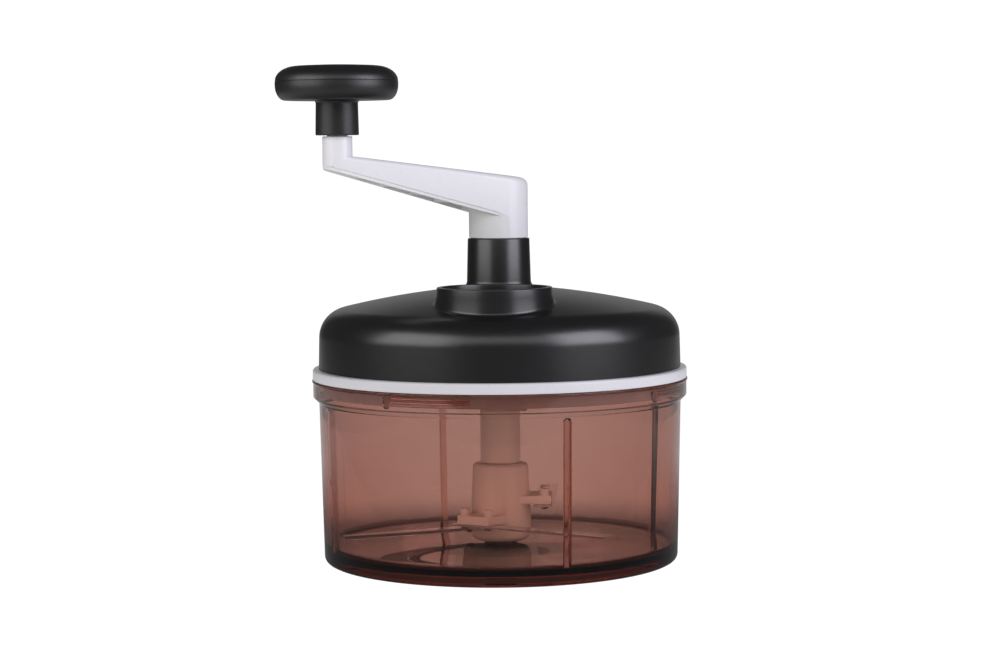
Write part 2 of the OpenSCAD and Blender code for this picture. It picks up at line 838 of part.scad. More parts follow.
module insert_socket() {
    translate([0, 0, spigot_z - over])
        hexagon(hex_top_af + hex_play, hex_top_h - keeper_t + over);
    translate([0, 0, spigot_z])
        cylinder(
            r = drive_screw_r + screw_play,
            h = hex_top_h + drive_screw_bite, $fn = 32
        );
}

// The pockets under the arm, between the rim, the hub and the cross ribs
module insert_pockets() {
    first = hub_r + insert_web;
    last = cavity_end - push_play - insert_rim;
    bay = (last - first) / (cross_ribs + 1);
    for (i = [0:cross_ribs])
        let (s0 = first + bay * i, s1 = first + bay * (i + 1) - insert_rim)
        intersection() {
            arm_bar(shell_wall + push_play + insert_rim, s0, s1, post_top_z);
            side_view([
                [s0 - over, hub_z],
                [s1 + over, hub_z],
                [s1 + over, lip_at(s1 + over) + insert_rim_h - insert_web],
                [s0 - over, lip_at(s0 - over) + insert_rim_h - insert_web]
            ]);
        }
}

module crank_insert() {
    tip = arm_len + 2 * post_r;
    start = shell_split + push_play;
    lip_start = start + edge_step + end_play;
    frame_r = hub_r - shell_wall - push_play;
    color([0.94, 0.94, 0.95])
        crank_place()
            difference() {
                union() {
                    // lip that closes the shell's lower edge
                    intersection() {
                        union() {
                            arm_bar(side_in, lip_start, arm_len, post_top_z);
                            arm_round(arm_len, post_r - side_in, post_top_z);
                        }
                        side_view([
                            [lip_start, lip_at(lip_start)],
                            [tip, lip_at(tip)],
                            [tip, edge_at(tip) - push_play],
                            [lip_start, edge_at(lip_start) - push_play]
                        ]);
                    }
                    // frame inside the shell
                    intersection() {
                        arm_bar(shell_wall + push_play, 0, cavity_end - push_play, post_top_z);
                        side_view([
                            [0, lip_at(0) + root / 2],
                            [tip, lip_at(tip) + root / 2],
                            [tip, lip_at(tip) + insert_rim_h],
                            [0, lip_at(0) + insert_rim_h]
                        ]);
                    }
                    // hub: full width where the shell leaves it bare
                    intersection() {
                        arm_round(0, hub_r, post_top_z);
                        side_view([
                            [start, hub_z],
                            [2 * hub_r, hub_z],
                            [2 * hub_r, edge_at(2 * hub_r) - push_play],
                            [start + edge_step, edge_at(start + edge_step) - push_play],
                            [start, edge_at(start) - edge_step - push_play]
                        ]);
                    }
                    arm_round(0, frame_r, shell_roof_z - push_play * 2);
                    translate([0, 0, spigot_z])
                        cylinder(r = spigot_r, h = hub_z - spigot_z + over, $fn = fine);
                    // spindle that the knob turns on
                    intersection() {
                        arm_round(arm_len, spindle_r, spindle_top_z);
                        side_view([
                            [0, lip_at(0) + root],
                            [tip, lip_at(tip) + root],
                            [tip, spindle_top_z + over],
                            [0, spindle_top_z + over]
                        ]);
                    }
                }
                insert_pockets();
                insert_socket();
                translate([arm_len, 0, post_top_z])
                    cylinder(r = drive_screw_r + screw_play, h = knob_z, $fn = 32);
            }
}

module keeper_washer() {
    hole_r = hex_top_af / 2 / cos(30) + end_play;
    color([0.74, 0.74, 0.76])
        rotate_extrude($fn = fine)
            translate([hole_r, tube_top_z + face_gap])
                square([keeper_r - hole_r, keeper_t]);
}

module drive_tube() {
    color([0.90, 0.85, 0.74])
        difference() {
            union() {
                translate([0, 0, tube_foot_z])
                    hexagon(hex_low_af, tube_hex_z - tube_foot_z + root);
                translate([0, 0, tube_hex_z])
                    cylinder(r = tube_r, h = tube_top_z - tube_hex_z, $fn = fine);
                crank_place()
                    translate([0, 0, tube_top_z - root])
                        hexagon(hex_top_af, hex_top_h + root);
            }
            translate([0, 0, tube_foot_z - over])
                cylinder(r = tube_bore_r, h = tube_web_z - tube_foot_z + over, $fn = 48);
            translate([0, 0, tube_web_z - over])
                cylinder(r = drive_screw_r + push_play * 1.5, h = tube_web + hex_top_h + 2 * over, $fn = 32);
        }
}

module drive_screw() {
    head_z = tube_web_z - face_gap - drive_head_h;
    color([0.70, 0.70, 0.72]) {
        translate([0, 0, head_z])
            cylinder(r = drive_head_r, h = drive_head_h, $fn = 48);
        translate([0, 0, head_z + root])
            cylinder(
                r = drive_screw_r,
                h = spigot_z + hex_top_h + drive_screw_bite - face_gap * 5 - head_z - root,
                $fn = 32
            );
    }
}

// ---------------------------------------------------------------- knob

module knob_washer() {
    hole_r = drive_screw_r + push_play * 2;
    color([0.74, 0.74, 0.76])
        knob_place()
            rotate_extrude($fn = 48)
                translate([hole_r, spindle_top_z + face_gap])
                    square([knob_washer_r - hole_r, knob_washer_t]);
}

module knob_screw() {
    color([0.70, 0.70, 0.72])
        knob_place() {
            translate([0, 0, knob_head_z])
                cylinder(r = drive_head_r, h = drive_head_h, $fn = 48);
            translate([0, 0, post_top_z + over])
                cylinder(r = drive_screw_r, h = knob_head_z - post_top_z - over + root, $fn = 32);
        }
}

module knob_body() {
    neck_in_r = knob_neck_r - knob_neck_draft;
    chamfer = hub_gap;
    color([0.14, 0.14, 0.15])
        knob_place()
            rotate_extrude($fn = fine)
                polygon(concat(
                    [
                        [spindle_r + run_play, knob_z],
                        [knob_neck_r - chamfer, knob_z],
                        [knob_neck_r, knob_z + chamfer]
                    ],
                    arc(
                        neck_in_r + knob_fillet, knob_low_z - knob_fillet,
                        knob_fillet, knob_fillet, 180, 90, corner
                    ),
                    arc(
                        knob_r - knob_low_round, seam_z - knob_band_h,
                        knob_low_round, knob_low_h - knob_band_h, -90, 0, 8
                    ),
                    [
                        [knob_r, seam_z],
                        [knob_plug_r() + push_play, seam_z],
                        [knob_plug_r() + push_play, well_z + knob_well_step],
                        [knob_washer_r + knob_washer_play, well_z + knob_well_step],
                        [knob_washer_r + knob_washer_play, well_z],
                        [spindle_r + run_play, well_z]
                    ]
                ));
}

// Outside radius of the ring that plugs the cap into the knob's body
function knob_plug_r() = knob_washer_r + knob_washer_play + knob_cap_wall + root;

module knob_cap() {
    cap_z = seam_z + push_play * 2;
    crown_edge_r = knob_r - knob_cap_round;
    n = 4;
    color([0.14, 0.14, 0.15])
        knob_place()
            rotate_extrude($fn = fine)
                polygon(concat(
                    arc(crown_edge_r, cap_z, knob_cap_round - push_play, knob_cap_h, 0, 90, 9),
                    [for (i = [1:n])
                        [crown_edge_r * (1 - i / n), cap_z + knob_cap_h + knob_crown * sin(90 * i / n)]],
                    [
                        [0, cap_z + knob_cap_recess],
                        [knob_plug_r() - knob_cap_wall, cap_z + knob_cap_recess],
                        [knob_plug_r() - knob_cap_wall, well_z + knob_well_step + push_play * 2],
                        [knob_plug_r(), well_z + knob_well_step + push_play * 2],
                        [knob_plug_r(), cap_z]
                    ]
                ));
}

// ---------------------------------------------------------------- blade unit

// Turn and height of blade i: each stands a third of a turn on from the one below
function level(i) = hub_foot_z + [level_low, level_mid, level_top][i];

module blade_place(i) {
    translate([0, 0, level(i)])
        rotate([0, 0, blade_angle + 120 * i])
            children();
}

module post_places() {
    for (side = [-1, 1])
        translate([side * post_pitch / 2, -post_offset, 0])
            children();
}

module blade_lug() {
    root_y = -blade_hub_r * 0.55;
    translate([0, 0, blade_t + face_gap])
        linear_extrude(height = mount_t)
            polygon([
                [-mount_half, -mount_out],
                [mount_half, -mount_out],
                [mount_half + mount_flare, root_y],
                [-mount_half - mount_flare, root_y]
            ]);
    post_places()
        translate([0, 0, blade_t + mount_t - root])
            cylinder(r = lug_post_r, h = lug_post_h + root, $fn = 32);
}

module blade_hub() {
    straight_z = hub_foot_z + blade_hub_straight_h;
    color([0.92, 0.87, 0.76])
        difference() {
            union() {
                rotate_extrude($fn = fine)
                    polygon(concat(
                        [[0, hub_foot_z]],
                        arc(
                            blade_hub_r - blade_hub_foot_round, hub_foot_z + blade_hub_foot_round,
                            blade_hub_foot_round, blade_hub_foot_round, -90, 0, corner
                        ),
                        [[blade_hub_r, straight_z]],
                        arc(
                            blade_hub_top_r - blade_hub_top_round, hub_top_z - blade_hub_top_round,
                            blade_hub_top_round, blade_hub_top_round, 0, 90, corner
                        ),
                        [[0, hub_top_z]]
                    ));
                for (i = [0:2])
                    blade_place(i)
                        blade_lug();
            }
            translate([0, 0, hub_foot_z - over])
                cylinder(r = pin_r + run_play, h = over + pin_rise - hub_lift + end_play, $fn = 48);
            translate([0, 0, socket_z])
                hexagon(hex_low_af + hex_play, hub_top_z - socket_z + over);
            for (i = [0:2])
                blade_place(i)
                    post_places()
                        cylinder(
                            r = blade_screw_r + screw_play,
                            h = blade_t + mount_t + lug_post_h - 1, $fn = 24
                        );
        }
}

// One blade: a flat strip beside the axis, ground along its inner edge
module blade(i) {
    out_y = -blade_offset - blade_w;
    in_y = -blade_offset;
    land = blade_t * 0.2;
    color([0.80, 0.80, 0.82])
        blade_place(i)
            difference() {
                intersection() {
                    rotate([90, 0, 90])
                        translate([0, 0, -2 * blade_tail])
                            linear_extrude(height = 2 * blade_reach + 2 * blade_tail)
                                polygon([
                                    [out_y, 0],
                                    [in_y, 0],
                                    [in_y, land],
                                    [in_y - blade_bevel, blade_t],
                                    [out_y, blade_t]
                                ]);
                    translate([0, 0, -over])
                        linear_extrude(height = blade_t + 2 * over)
                            polygon([
                                [-blade_tail - blade_slant / 2, in_y + over],
                                [-blade_tail + blade_slant / 2, out_y - over],
                                [blade_reach - blade_slant / 2, out_y - over],
                                [blade_reach + blade_slant / 2, in_y + over]
                            ]);
                }
                post_places()
                    translate([0, 0, -over])
                        cylinder(r = blade_screw_r + push_play * 1.5, h = blade_t + 2 * over, $fn = 24);
            }
}

module blade_low() {
    blade(0);
}

module blade_mid() {
    blade(1);
}

module blade_top() {
    blade(2);
}

module blade_screws() {
    color([0.70, 0.70, 0.72])
        for (i = [0:2])
            blade_place(i)
                post_places()
                    rotate_extrude($fn = 32)
                        polygon([
                            [0, -face_gap - blade_head_h],
                            [blade_head_r * 0.5, -face_gap - blade_head_h],
                            [blade_head_r * 0.87, -face_gap - blade_head_h * 0.62],
                            [blade_head_r, -face_gap],
                            [blade_screw_r, -face_gap],
                            [blade_screw_r, blade_t + mount_t + lug_post_h - 1.5],
                            [0, blade_t + mount_t + lug_post_h - 1.5]
                        ]);
}

bowl();
bowl_pin();
lid_base();
lid_seal();
lid_cover();
cover_screws();
neck_bush();
base_bush();
crank_shell();
crank_insert();
keeper_washer();
drive_tube();
drive_screw();
knob_washer();
knob_screw();
knob_body();
knob_cap();
blade_hub();
blade_low();
blade_mid();
blade_top();
blade_screws();
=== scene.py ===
import math

import bmesh
import bpy
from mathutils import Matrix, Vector


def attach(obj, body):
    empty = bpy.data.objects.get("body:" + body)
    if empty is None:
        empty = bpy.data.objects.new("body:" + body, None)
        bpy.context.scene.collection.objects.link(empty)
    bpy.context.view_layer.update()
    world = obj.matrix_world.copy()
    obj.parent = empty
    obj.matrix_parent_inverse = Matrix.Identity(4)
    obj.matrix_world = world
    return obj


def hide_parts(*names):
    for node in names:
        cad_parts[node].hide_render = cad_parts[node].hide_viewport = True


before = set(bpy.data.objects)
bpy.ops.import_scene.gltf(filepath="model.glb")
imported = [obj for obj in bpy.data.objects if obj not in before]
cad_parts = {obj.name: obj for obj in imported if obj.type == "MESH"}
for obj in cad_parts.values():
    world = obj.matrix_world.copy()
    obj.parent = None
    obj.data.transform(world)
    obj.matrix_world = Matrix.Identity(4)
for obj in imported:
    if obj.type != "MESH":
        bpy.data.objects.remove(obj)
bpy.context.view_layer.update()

# ---------------------------------------------------------------- Bowl
# A deep round bowl, injection moulded in clear brown plastic just under 3 mm thick.
# It stands on a foot ring. Four upright ribs throw the food back into the blades, and the
# rim band has four bayonet rails inside, each with a stop at one end.

bowl_foot_r, bowl_top_r = 88.4, 90.2
floor_top, boss_top, wall_top, rim_top = 8, 9.5, 79.9, 91.1
rib_at_r, rib_half, rib_top, rib_end = 86, 2.01, 77.4, 79.41
rib_foot_r, rib_lean, rib_rise = 83.4, 1.62, 71.3
rib_angles = [math.radians(-69 + 90 * i) for i in range(4)]
rail_angles = [math.radians(-113 + 90 * i) for i in range(4)]
rail_half = math.radians(14)
stop_span = math.radians(2.3)
rail_low, rail_high, stop_low, rail_depth = 86.3, 88.9, 83.3, 1.4
stop_round, stop_edge = 1.8, 0.35
rib_levels = [8.6, rib_top, 78.05, 78.6, 78.9, 79.08, 79.19, 79.4]
stop_levels = [83.25, 83.35, 83.5, 83.75, 84.1, 84.6, 85.2, 89.0]
rail_levels = [rail_low + (rail_high - rail_low) * (1 - math.cos(math.pi * k / 8)) / 2
               for k in range(9)]


def eased(corners, steps=5, loop=False):
    """Corners are (radius from the axis, height, easing). Each easing becomes a small arc."""
    line = []
    count = len(corners)
    for i, (r, z, ease) in enumerate(corners):
        if not ease or (not loop and i in (0, count - 1)):
            line.append((r, z))
            continue
        here = Vector((r, z))
        back = Vector(corners[i - 1][:2]) - here
        on = Vector(corners[(i + 1) % count][:2]) - here
        half = back.angle(on) / 2
        if half > 1.55:
            line.append((r, z))
            continue
        reach = min(ease / math.tan(half), back.length * 0.48, on.length * 0.48)
        back.normalize()
        on.normalize()
        centre = here + (back + on).normalized() * (reach / math.cos(half))
        first, last = here + back * reach - centre, here + on * reach - centre
        sweep = math.pi - 2 * half
        for k in range(steps + 1):
            t = k / steps
            spoke = (first * math.sin((1 - t) * sweep) + last * math.sin(t * sweep)) / math.sin(sweep)
            line.append(tuple(centre + spoke))
    return line


def turned(line, columns=192, loop=False, shape=None, centre=(0, 0)):
    """Turns a line of (radius, height) round an upright axis. shape may change the radius."""
    angles = columns
    if isinstance(columns, int):
        angles = [2 * math.pi * k / columns for k in range(columns)]
    bm = bmesh.new()
    rings = []
    for row, (r, z) in enumerate(line):
        if r < 1e-4:
            rings.append([bm.verts.new((centre[0], centre[1], z))])
            continue
        ring = []
        for a in angles:
            reach = shape(row, r, z, a) if shape else r
            x, y = centre[0] + reach * math.cos(a), centre[1] + reach * math.sin(a)
            ring.append(bm.verts.new((x, y, z)))
        rings.append(ring)
    pairs = list(zip(rings, rings[1:]))
    if loop:
        pairs.append((rings[-1], rings[0]))
    for low, high in pairs:
        for k in range(len(angles)):
            j = (k + 1) % len(angles)
            corners = [low[k % len(low)], low[j % len(low)], high[j % len(high)], high[k % len(high)]]
            corners = list(dict.fromkeys(corners))
            if len(corners) > 2:
                bm.faces.new(corners)
    bmesh.ops.recalc_face_normals(bm, faces=bm.faces)
    return bm


def fitted(name, bm, finish, body, nodes, crease=32):
    """Makes the piece from millimetres, smooth but for its creases, and fixes it to its body."""
    bmesh.ops.scale(bm, vec=(0.001, 0.001, 0.001), verts=bm.verts)
    bmesh.ops.recalc_face_normals(bm, faces=bm.faces)
    for face in bm.faces:
        face.smooth = True
    for edge in bm.edges:
        edge.smooth = len(edge.link_faces) == 2 and edge.calc_face_angle(0) < math.radians(crease)
    mesh = bpy.data.meshes.new(name)
    bm.to_mesh(mesh)
    bm.free()
    made = bpy.data.objects.new(name, mesh)
    bpy.context.collection.objects.link(made)
    mesh.materials.append(finish)
    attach(made, body)
    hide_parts(*nodes)
    return made


def speckle(nodes, links, scale, detail, low, high):
    """A noise in the object's own space, spread between two values."""
    place = nodes.new("ShaderNodeTexCoord")
    noise = nodes.new("ShaderNodeTexNoise")
    noise.inputs["Scale"].default_value = scale
    noise.inputs["Detail"].default_value = detail
    spread = nodes.new("ShaderNodeMapRange")
    spread.inputs["From Min"].default_value = 0.3
    spread.inputs["From Max"].default_value = 0.7
    spread.inputs["To Min"].default_value = low
    spread.inputs["To Max"].default_value = high
    links.new(place.outputs["Object"], noise.inputs["Vector"])
    links.new(noise.outputs["Fac"], spread.inputs["Value"])
    return spread.outputs["Result"]


def shaded(nodes, links, colour, deeper, scale):
    """A colour that drifts slowly between two near shades."""
    mix = nodes.new("ShaderNodeMix")
    mix.data_type = "RGBA"
    mix.inputs["A"].default_value = (*colour, 1)
    mix.inputs["B"].default_value = (*deeper, 1)
    links.new(speckle(nodes, links, scale, 3, 0, 1), mix.inputs["Factor"])
    return mix.outputs["Result"]


def clear_plastic(name, absorb, density):
    """Polished clear plastic that takes up more light the thicker it is."""
    finish = bpy.data.materials.new(name)
    finish.use_nodes = True
    nodes, links = finish.node_tree.nodes, finish.node_tree.links
    gloss = nodes["Principled BSDF"]
    gloss.inputs["Transmission Weight"].default_value = 1
    gloss.inputs["IOR"].default_value = 1.5
    links.new(shaded(nodes, links, (1, 1, 1), (0.97, 0.965, 0.96), 60), gloss.inputs["Base Color"])
    links.new(speckle(nodes, links, 140, 3, 0.0, 0.008), gloss.inputs["Roughness"])
    depth = nodes.new("ShaderNodeVolumeAbsorption")
    depth.inputs["Color"].default_value = (*absorb, 1)
    depth.inputs["Density"].default_value = density
    links.new(depth.outputs["Volume"], nodes["Material Output"].inputs["Volume"])
    return finish


brown_clear = clear_plastic("brown_clear_plastic", (0.66, 0.20, 0.05), 285)

bowl_outside = [
    (0, 1.0, 0), (8, 1.0, 0.5), (8, 5.0, 0.8), (80.0, 5.0, 1.0), (80.0, 0, 0.7),
    (bowl_foot_r, 0, 3.0), (bowl_top_r, wall_top, 1.6), (93.1, 82.8, 1.0), (93.1, 89.7, 0.3),
    (93.6, 90.2, 0.2), (93.6, rim_top, 0.35), (90.3, rim_top, 0.4), (90.3, 82.8, 1.2),
    (87.4, wall_top, 1.8), (85.72, floor_top, 3.0), (8, floor_top, 0.8), (8, boss_top, 0.4),
    (0, boss_top, 0),
]
levels = sorted(rib_levels + stop_levels + rail_levels, reverse=True)
inner_wall_r, level_gap = 84, 0.02
bowl_line = []
for start, end in zip(eased(bowl_outside), eased(bowl_outside)[1:] + [(0, boss_top)]):
    bowl_line.append(start)
    if start[1] > end[1] and min(start[0], end[0]) > inner_wall_r:
        for z in levels:
            if end[1] + level_gap < z < start[1] - level_gap:
                share = (start[1] - z) / (start[1] - end[1])
                bowl_line.append((start[0] + (end[0] - start[0]) * share, z))
first_inside = max(i for i, (r, z) in enumerate(bowl_line) if z > rim_top - 0.1)
floor_middle_r = 20

rib_section = [(0, 1), (0.65, 0.99), (1.2, 0.93), (1.5, 0.8), (1.68, 0.55), (1.79, 0.15), (2.0, 0)]


def turn_between(a, b):
    """The turn from b to a, the short way round."""
    return (a - b + math.pi) % (2 * math.pi) - math.pi


def rib_profile(t):
    """How far a rib stands out, as a share, at a distance from its middle."""
    t = abs(t)
    for (t0, d0), (t1, d1) in zip(rib_section, rib_section[1:]):
        if t <= t1 + 1e-6:
            return d0 + (d1 - d0) * (t - t0) / (t1 - t0)
    return 0


def bowl_inside(row, r, z, a):
    """The inner wall's radius, less what a rib, rail or stop stands out there."""
    if row <= first_inside or r < floor_middle_r:
        return r
    depth = 0
    for angle in rib_angles:
        across = turn_between(a, angle) * rib_at_r
        if abs(across) < rib_half and z < rib_end:
            rib_r = rib_foot_r + rib_lean * (z - floor_top) / rib_rise
            across = math.hypot(across, max(0, z - rib_top))
            depth = max(depth, rib_profile(across) * max(0, r - rib_r))
    for angle in rail_angles:
        turn = turn_between(a, angle)
        if abs(turn) < rail_half + 1e-4 and rail_low - 0.01 < z < rail_high + 0.01:
            across = (2 * z - rail_low - rail_high) / (rail_high - rail_low)
            depth = rail_depth * math.sqrt(max(0.04, 1 - across ** 2))
        stop_half = stop_span / 2
        aside = (turn + rail_half - stop_half) / stop_half * stop_round
        off = math.hypot(aside, max(0, stop_low + stop_round - z))
        if off < stop_round and z < rail_high:
            depth = max(depth, rail_depth * min(1, (stop_round - off) / stop_edge))
    return r - depth


stop_shares = (-0.02, 0, 0.05, 0.1, 0.3, 0.5, 0.7, 0.9, 0.95, 1, 1.02)
rail_end_gap, column_gap, round_columns = 0.0012, 0.008, 240
fine_columns = []
for angle in rib_angles:
    for t, _ in rib_section:
        fine_columns += [angle + t / rib_at_r, angle - t / rib_at_r] if t else [angle]
for angle in rail_angles:
    fine_columns += [angle - rail_half + stop_span * share for share in stop_shares]
    rail_end = angle + rail_half
    fine_columns += [rail_end, rail_end - rail_end_gap, rail_end + rail_end_gap]
even_columns = [2 * math.pi * k / round_columns for k in range(round_columns)]
bowl_columns = fine_columns + [
    angle for angle in even_columns
    if all(abs(turn_between(angle, other)) > column_gap for other in fine_columns)]
bowl_columns = sorted({round(a % (2 * math.pi), 7) for a in bowl_columns})

fitted("clear_bowl", turned(bowl_line, bowl_columns, shape=bowl_inside), brown_clear,
       "bowl", ["bowl"])

# ---------------------------------------------------------------- Steel pin
# A ground stainless pin, 6 mm thick, moulded into the boss in the middle of the bowl's floor.
# The blade unit drops over it and turns on it.


def steel(name, colour, low, high, along):
    """Ground steel, with fine marks drawn out along one way."""
    finish = bpy.data.materials.new(name)
    finish.use_nodes = True
    nodes, links = finish.node_tree.nodes, finish.node_tree.links
    metal = nodes["Principled BSDF"]
    metal.inputs["Metallic"].default_value = 1
    deeper = tuple(c * 0.88 for c in colour)
    links.new(shaded(nodes, links, colour, deeper, 90), metal.inputs["Base Color"])
    place = nodes.new("ShaderNodeTexCoord")
    stretch = nodes.new("ShaderNodeMapping")
    stretch.inputs["Scale"].default_value = along
    marks = nodes.new("ShaderNodeTexNoise")
    marks.inputs["Scale"].default_value = 1
    marks.inputs["Detail"].default_value = 4
    spread = nodes.new("ShaderNodeMapRange")
    spread.inputs["To Min"].default_value = low
    spread.inputs["To Max"].default_value = high
    bump = nodes.new("ShaderNodeBump")
    bump.inputs["Strength"].default_value = 0.06
    bump.inputs["Distance"].default_value = 0.0001
    links.new(place.outputs["Object"], stretch.inputs["Vector"])
    links.new(stretch.outputs["Vector"], marks.inputs["Vector"])
    links.new(marks.outputs["Fac"], spread.inputs["Value"])
    links.new(spread.outputs["Result"], metal.inputs["Roughness"])
    links.new(marks.outputs["Fac"], bump.inputs["Height"])
    links.new(bump.outputs["Normal"], metal.inputs["Normal"])
    return finish


pin_steel = steel("ground_pin_steel", (0.62, 0.62, 0.64), 0.14, 0.3, (300, 300, 4000))
pin_line = eased([(0, 2.6, 0), (3, 2.6, 0.2), (3, 28, 0.9), (0, 28.3, 0)])
fitted("pivot_pin", turned(pin_line, 48), pin_steel, "bowl", ["bowl_pin"])

# ---------------------------------------------------------------- Blade unit
# A cream moulded hub with a hexagon socket at its top and a pin bore at its foot. Three lugs
# stand out from it, a third of a turn and a step higher each, and each holds a ground
# stainless blade by two small dome-headed screws from below.


def from_solid(node, ease=0.25, steps=2, crease=30):
    """A copy of a solid in millimetres, with flat faces made whole and sharp edges eased."""
    bm = bmesh.new()
    bm.from_mesh(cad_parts[node].data)
    bmesh.ops.scale(bm, vec=(1000, 1000, 1000), verts=bm.verts)
    bmesh.ops.remove_doubles(bm, verts=bm.verts, dist=0.004)
    bmesh.ops.dissolve_limit(bm, angle_limit=math.radians(0.5), verts=bm.verts, edges=bm.edges)
    if ease:
        sharp = [e for e in bm.edges
                 if len(e.link_faces) == 2 and e.calc_face_angle(0) > math.radians(crease)]
        bmesh.ops.bevel(bm, geom=sharp, offset=ease, segments=steps, profile=0.5,
                        affect="EDGES", clamp_overlap=True)
    return bm


def plastic(name, colour, low, high, grain=1800, bump_strength=0.05, mottle=0.92, specular=0.5):
    """Satin moulded plastic with a fine grain and a slight drift of shade."""
    finish = bpy.data.materials.new(name)
    finish.use_nodes = True
    nodes, links = finish.node_tree.nodes, finish.node_tree.links
    body = nodes["Principled BSDF"]
    body.inputs["IOR"].default_value = 1.49
    body.inputs["Specular IOR Level"].default_value = specular
    deeper = tuple(c * mottle for c in colour)
    links.new(shaded(nodes, links, colour, deeper, 35), body.inputs["Base Color"])
    links.new(speckle(nodes, links, 400, 4, low, high), body.inputs["Roughness"])
    bump = nodes.new("ShaderNodeBump")
    bump.inputs["Strength"].default_value = bump_strength
    bump.inputs["Distance"].default_value = 0.0001
    links.new(speckle(nodes, links, grain, 2, 0, 1), bump.inputs["Height"])
    links.new(bump.outputs["Normal"], body.inputs["Normal"])
    return finish


cream = plastic("cream_moulded_plastic", (0.92, 0.72, 0.61), 0.32, 0.42, bump_strength=0.02)
blade_steel = steel("ground_blade_steel", (0.70, 0.70, 0.72), 0.1, 0.26, (60, 900, 900))
screw_steel = steel("screw_steel", (0.58, 0.58, 0.60), 0.2, 0.34, (900, 900, 900))
fitted("blade_unit_hub", from_solid("blade_hub", 0.35, 3), cream,
       "blade_unit", ["blade_hub"])
for level in ("low", "mid", "top"):
    fitted("chopping_blade_" + level, from_solid("blade_" + level, 0.08, 1), blade_steel,
           "blade_unit", ["blade_" + level])
fitted("blade_fixing_screws", from_solid("blade_screws", 0.15, 2), screw_steel,
       "blade_unit", ["blade_screws"])

# ---------------------------------------------------------------- Lid base
# A white moulded plate whose edge shows as a band between the bowl and the cover. Its skirt
# and four bayonet lugs sit inside the bowl's rim, a silicone seal lies in a groove under its
# edge, and a flanged bearing bush is pressed into the socket in its middle.

white = plastic("white_moulded_plastic", (0.77, 0.755, 0.79), 0.27, 0.32, bump_strength=0.01, mottle=0.98)
bearing = plastic("bearing_plastic", (0.74, 0.72, 0.64), 0.45, 0.6)
silicone = plastic("seal_silicone", (0.62, 0.62, 0.60), 0.5, 0.65, specular=0.35)
fitted("lid_base_plate", from_solid("lid_base", 0.3, 3), white, "lid", ["lid_base"])
fitted("rim_seal", from_solid("lid_seal", 0.3, 3), silicone, "lid", ["lid_seal"])
fitted("lower_bush", from_solid("base_bush", 0.2, 2), bearing, "lid", ["base_bush"])

# ---------------------------------------------------------------- Lid cover
# A black moulded dome, satin outside, with a tapered neck in its middle and a round feed
# collar near its front edge. Four screws from below hold it on the base, and a bearing
# bush is pressed into the neck.

neck_top, crown_mid, crown_past, crown_r = 160.6, 137.3, 16.4, 408
neck_foot_r, neck_top_r, neck_bore, ledge_bore, bush_bore = 15.95, 15.35, 13.1, 11.6, 13.25
ledge_top, ledge_foot = 150.6, 149.1
cover_top_r, cover_foot_r, cover_foot, cover_skin, shoulder_r = 89.8, 90.2, 96.5, 2.5, 14.8
crown_centre = crown_mid - math.sqrt(crown_r ** 2 - crown_past ** 2)
shoulder_x = cover_top_r - shoulder_r
shoulder_z = crown_centre + math.sqrt((crown_r - shoulder_r) ** 2 - (shoulder_x + crown_past) ** 2)
shoulder_lean = math.atan2(shoulder_z - crown_centre, shoulder_x + crown_past)


def crown(r, inside=0):
    """The dome's height over its main curve, or that of its inner face."""
    return crown_centre + math.sqrt((crown_r - inside) ** 2 - (r + crown_past) ** 2)


def cover_height(r):
    """The dome's height out to its edge, with the rounded shoulder."""
    if r < crown_r * math.cos(shoulder_lean) - crown_past:
        return crown(r)
    return shoulder_z + math.sqrt(max(0, shoulder_r ** 2 - (r - shoulder_x) ** 2))


def crown_edge(inside):
    """The radius where the main curve meets the shoulder."""
    return (crown_r - inside) * math.cos(shoulder_lean) - crown_past


cover_line = [(cover_foot_r - 0.3, cover_foot), (cover_foot_r, cover_foot + 0.3)]
for k in range(25):
    a = shoulder_lean * k / 24
    cover_line.append((shoulder_x + shoulder_r * math.cos(a), shoulder_z + shoulder_r * math.sin(a)))
flare = 3.6
flare_r = neck_foot_r + flare
for k in range(1, 24):
    r = crown_edge(0) + (flare_r - crown_edge(0)) * k / 24
    cover_line.append((r, crown(r)))
for k in range(13):
    a = math.radians(-90 - 7.5 * k)
    cover_line.append((flare_r + flare * math.cos(a), crown(flare_r) + flare + flare * math.sin(a)))
cover_line += eased([(neck_foot_r, 150, 0), (neck_top_r, neck_top, 0.5), (neck_bore, neck_top, 0.2),
                     (neck_bore, ledge_top, 0)])[1:]
cover_line += [(ledge_bore, ledge_top), (ledge_bore, ledge_foot), (bush_bore, ledge_foot),
               (bush_bore, crown(bush_bore, cover_skin))]
for k in range(1, 16):
    r = bush_bore + (crown_edge(cover_skin) - bush_bore) * k / 16
    cover_line.append((r, crown(r, cover_skin)))
for k in range(13):
    a = shoulder_lean * (12 - k) / 12
    cover_line.append((shoulder_x + (shoulder_r - cover_skin) * math.cos(a),
                       shoulder_z + (shoulder_r - cover_skin) * math.sin(a)))
cover_line.append((cover_foot_r - cover_skin, cover_foot))

port_angle = math.radians(-92.5)
port_offset = 49.5
port_x, port_y = port_offset * math.cos(port_angle), port_offset * math.sin(port_angle)
port_r, port_out_r, port_rim, port_foot, port_ease = 25.1, 27.7, 139.0, 94.3, 0.55


